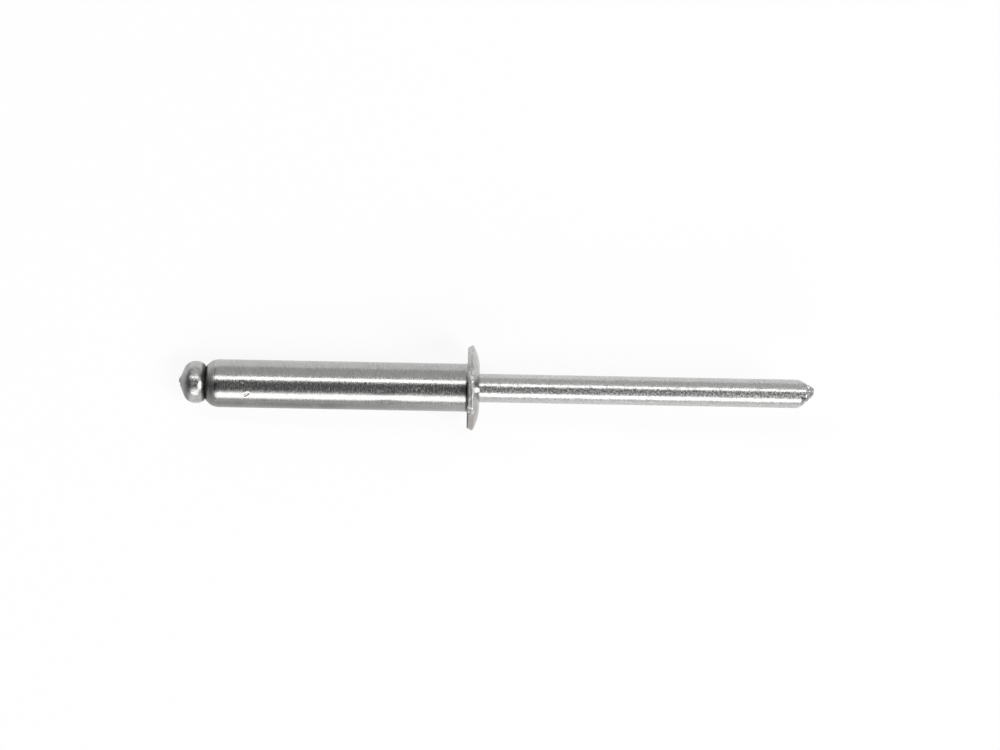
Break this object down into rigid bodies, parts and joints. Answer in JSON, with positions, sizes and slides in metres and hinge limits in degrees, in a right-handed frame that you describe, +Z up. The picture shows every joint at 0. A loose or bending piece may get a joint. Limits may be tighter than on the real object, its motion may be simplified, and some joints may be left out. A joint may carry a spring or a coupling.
{
  "type": "pop rivet",
  "caption": "Open-end blind rivet with a low dome flange, unset: a hollow metal shell on its pull mandrel, lying on its side.",
  "frame": {"origin": "centre of the flange's seat face, on the shell's axis", "axes": "+Z up from the surface the rivet lies on; the rivet's axis lies in the XZ plane, its pulling stem towards +X and raised 4.0 degrees above level, as it rests on the flange's rim and the shell's rounded end"},
  "size_m": [0.0632, 0.0084, 0.0085],
  "materials": {
    "shell_steel": "smooth cold-formed steel, satin bright, with faint marks round it",
    "mandrel_steel": "drawn steel wire, finely mottled"
  },
  "bodies": {
    "root": {"rivet_body": "shell_steel", "mandrel": "mandrel_steel"}
  },
  "joints": []
}
